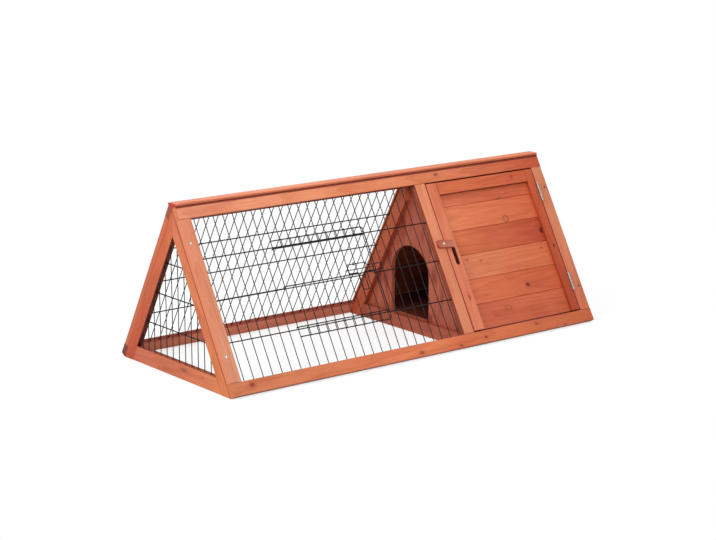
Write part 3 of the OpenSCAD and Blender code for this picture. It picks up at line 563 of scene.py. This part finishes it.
def crossScrew(look):  # a countersunk screw with its head's top at z = 0
    bpy.ops.object.select_all(action="DESELECT")
    bpy.ops.mesh.primitive_cylinder_add(vertices=look["facets"], radius=look["head"], depth=look["edge"],
                                        location=(0, 0, -look["edge"] / 2))
    screw = bpy.context.object
    bpy.ops.object.mode_set(mode="EDIT")
    pickFaces(screw, lambda normal: normal.z > 0.9)
    bpy.ops.mesh.inset(thickness=look["edge"] / 2)
    pickFaces(screw, lambda normal: normal.z < -0.9)
    slim = look["neck"] / look["head"]
    steps = [(look["edge"] - look["deep"], slim), (look["deep"] - look["length"] * (1 - look["tip"]), 1),
             (-look["length"] * look["tip"], look["point"])]  # cone under the head, shank, point
    for drop, narrow in steps:
        bpy.ops.mesh.extrude_region_move(TRANSFORM_OT_translate={"value": (0, 0, drop)})
        if narrow != 1:
            bpy.ops.transform.resize(value=(narrow, narrow, 1))
    bpy.ops.object.mode_set(mode="OBJECT")
    bpy.ops.object.transform_apply(location=True, rotation=True, scale=True)
    bpy.ops.object.select_all(action="DESELECT")
    bpy.ops.mesh.primitive_cube_add(size=look["crossWide"])
    driver = bpy.context.object
    bpy.ops.object.mode_set(mode="EDIT")
    bpy.ops.transform.resize(value=(1, 1, 2 * look["crossDeep"] / look["crossWide"]))
    pickFaces(driver, lambda normal: abs(normal.z) < 0.1)
    bpy.ops.mesh.extrude_faces_move(TRANSFORM_OT_shrink_fatten={"value": look["crossArm"]})
    pickFaces(driver, lambda normal: normal.z < -0.9)
    bpy.ops.transform.resize(value=(look["crossTaper"], look["crossTaper"], 1))
    bpy.ops.object.mode_set(mode="OBJECT")
    recess = screw.modifiers.new("crossRecess", "BOOLEAN")
    recess.object = driver
    recess.operation = "DIFFERENCE"
    bpy.context.view_layer.objects.active = screw
    bpy.ops.object.modifier_apply(modifier=recess.name)
    bpy.data.objects.remove(driver)
    bpy.ops.object.select_all(action="DESELECT")
    screw.select_set(True)
    bpy.ops.object.shade_smooth_by_angle(angle=math.radians(look["smooth"]))
    return screw


def roundPin(look):  # a small pin whose domed head stands just proud of z = 0
    bpy.ops.object.select_all(action="DESELECT")
    bpy.ops.mesh.primitive_cylinder_add(vertices=look["facets"], radius=look["head"], depth=look["deep"],
                                        location=(0, 0, look["proud"] / 2 - look["deep"] / 2))
    pin = bpy.context.object
    bpy.ops.object.mode_set(mode="EDIT")
    pickFaces(pin, lambda normal: normal.z > 0.9)
    bpy.ops.mesh.extrude_region_move(TRANSFORM_OT_translate={"value": (0, 0, look["proud"] / 2)})
    bpy.ops.transform.resize(value=(look["dome"], look["dome"], 1))
    bpy.ops.object.mode_set(mode="OBJECT")
    bpy.ops.object.transform_apply(location=True, rotation=True, scale=True)
    bpy.ops.object.shade_smooth_by_angle(angle=math.radians(look["smooth"]))
    return pin


def setOut(model, name, places, body, finish, node=None):  # a fastener at its places, joined to one piece
    copies = []
    for place in places:
        bpy.ops.object.select_all(action="DESELECT")
        model.select_set(True)
        bpy.context.view_layer.objects.active = model
        bpy.ops.object.duplicate()
        twin = bpy.context.object
        twin.matrix_world = place
        bpy.ops.object.transform_apply(location=True, rotation=True, scale=True)
        copies.append(twin)
    bpy.ops.object.select_all(action="DESELECT")
    for twin in copies:
        twin.select_set(True)
    bpy.context.view_layer.objects.active = copies[0]
    if len(copies) > 1:
        bpy.ops.object.join()
    fastener = bpy.context.object
    fastener.name = name
    dress(fastener, finish)
    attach(fastener, body)
    if node:
        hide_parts(node)
    bpy.data.objects.remove(model)


def spot(axes, x, v, n, turn=Matrix()):  # a fastener's place on one slope, its head along n unless turned
    return axes @ Matrix.Translation((x / 1000, v / 1000, n / 1000)) @ turn


# Screws through the stiles into the end frames: sizes in metres, places x and v in mm
frameScrewSet = {
    "head": 0.0036, "neck": 0.0019,  # radii
    "edge": 0.0004, "deep": 0.0027,  # heights of the head's rim and of the whole head
    "length": 0.038, "tip": 0.1, "point": 0.15, "facets": 28, "smooth": 35,
    "crossWide": 0.0008, "crossArm": 0.0014, "crossDeep": 0.0012, "crossTaper": 0.55,
    "x": (11, 1169), "v": (100, 389),
    "turns": (0.4, 0.3),  # each next screw on a slope stops this much further round, in radians
}
screwRows = [(x, v) for x in frameScrewSet["x"] for v in frameScrewSet["v"]]
places = [spot(axes, x, v, 0, Matrix.Rotation(turn * k, 4, "Z"))
          for axes, turn in zip((frontAxes, halfTurn @ frontAxes), frameScrewSet["turns"])
          for k, (x, v) in enumerate(screwRows)]
setOut(crossScrew(frameScrewSet), "frameScrewSet", places, "hutch", screwZinc, "frame_screws")

# The screw that the turn button turns on
buttonScrewSet = dict(frameScrewSet, length=0.020, x=755, v=279, n=8.3, turn=0.6)
place = spot(frontAxes, buttonScrewSet["x"], buttonScrewSet["v"], buttonScrewSet["n"],
             Matrix.Rotation(buttonScrewSet["turn"], 4, "Z"))
setOut(crossScrew(buttonScrewSet), "turnButtonScrew", [place], "hutch", screwZinc, "turn_button_screw")

# Small screws in the hinge leaves, whose faces look at each other across the door's gap
hingeScrewSet = dict(frameScrewSet, head=0.0020, edge=0.0003, neck=0.0010, deep=0.0012, length=0.012,
                     crossWide=0.0005, crossArm=0.0008, crossDeep=0.0007, proud=0.25, frameLeaf=1145.0,
                     doorLeaf=1144.0, hinges=(117, 378), offsets=(-16, 16), n=-6)
hingeRows = [v + offset for v in hingeScrewSet["hinges"] for offset in hingeScrewSet["offsets"]]
for name, body, leaf, sign in (("hingeScrewsFrame", "hutch", "frameLeaf", -1),
                               ("hingeScrewsDoor", "house_door", "doorLeaf", 1)):
    places = [spot(frontAxes, hingeScrewSet[leaf] + sign * hingeScrewSet["proud"], v, hingeScrewSet["n"],
                   Matrix.Rotation(sign * math.pi / 2, 4, "Y")) for v in hingeRows]
    setOut(crossScrew(hingeScrewSet), name, places, body, zincSteel)

# Pins that hold the planks, driven from the inner side
pinSet = {
    "head": 0.0013, "deep": 0.0016, "proud": 0.0004, "dome": 0.6, "facets": 12, "smooth": 50,
    "fromEnd": 5,  # in mm
    "shares": (0.25, 0.75),  # of the plank's width
}


def plankPins(nodes, axes):  # two pins near each end of each plank, on its inner face
    rows = []
    inward = Matrix.Rotation(math.pi, 4, "X")
    for name in nodes:
        points = [axes.inverted() @ v.co * 1000 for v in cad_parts[name].data.vertices]
        x0, x1 = min(p.x for p in points) + pinSet["fromEnd"], max(p.x for p in points) - pinSet["fromEnd"]
        v0, v1 = min(p.y for p in points), max(p.y for p in points)
        inner = min(p.z for p in points)
        rows += [spot(axes, x, v0 + (v1 - v0) * share, inner, inward) for x in (x0, x1)
                 for share in pinSet["shares"]]
    return rows


for name, kind, body, axes in (("doorPlankPins", "door_plank", "house_door", frontAxes),
                               ("backPlankPins", "back_plank", "hutch", halfTurn @ frontAxes)):
    places = plankPins([f"{kind}_{i}" for i in range(1, 7)], axes)
    setOut(roundPin(pinSet), name, places, body, zincSteel)
places = []
for i in range(1, 5):
    low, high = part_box(f"floor_plank_{i}")
    for bearer in ("floor_bearer_left", "floor_bearer_right"):
        left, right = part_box(bearer)
        rows = [low[1] + (high[1] - low[1]) * share for share in pinSet["shares"]]
        places += [Matrix.Translation(((left[0] + right[0]) / 2, y, high[2])) for y in rows]
setOut(roundPin(pinSet), "floorPlankPins", places, "hutch", zincSteel)
print("screws and pins finished")
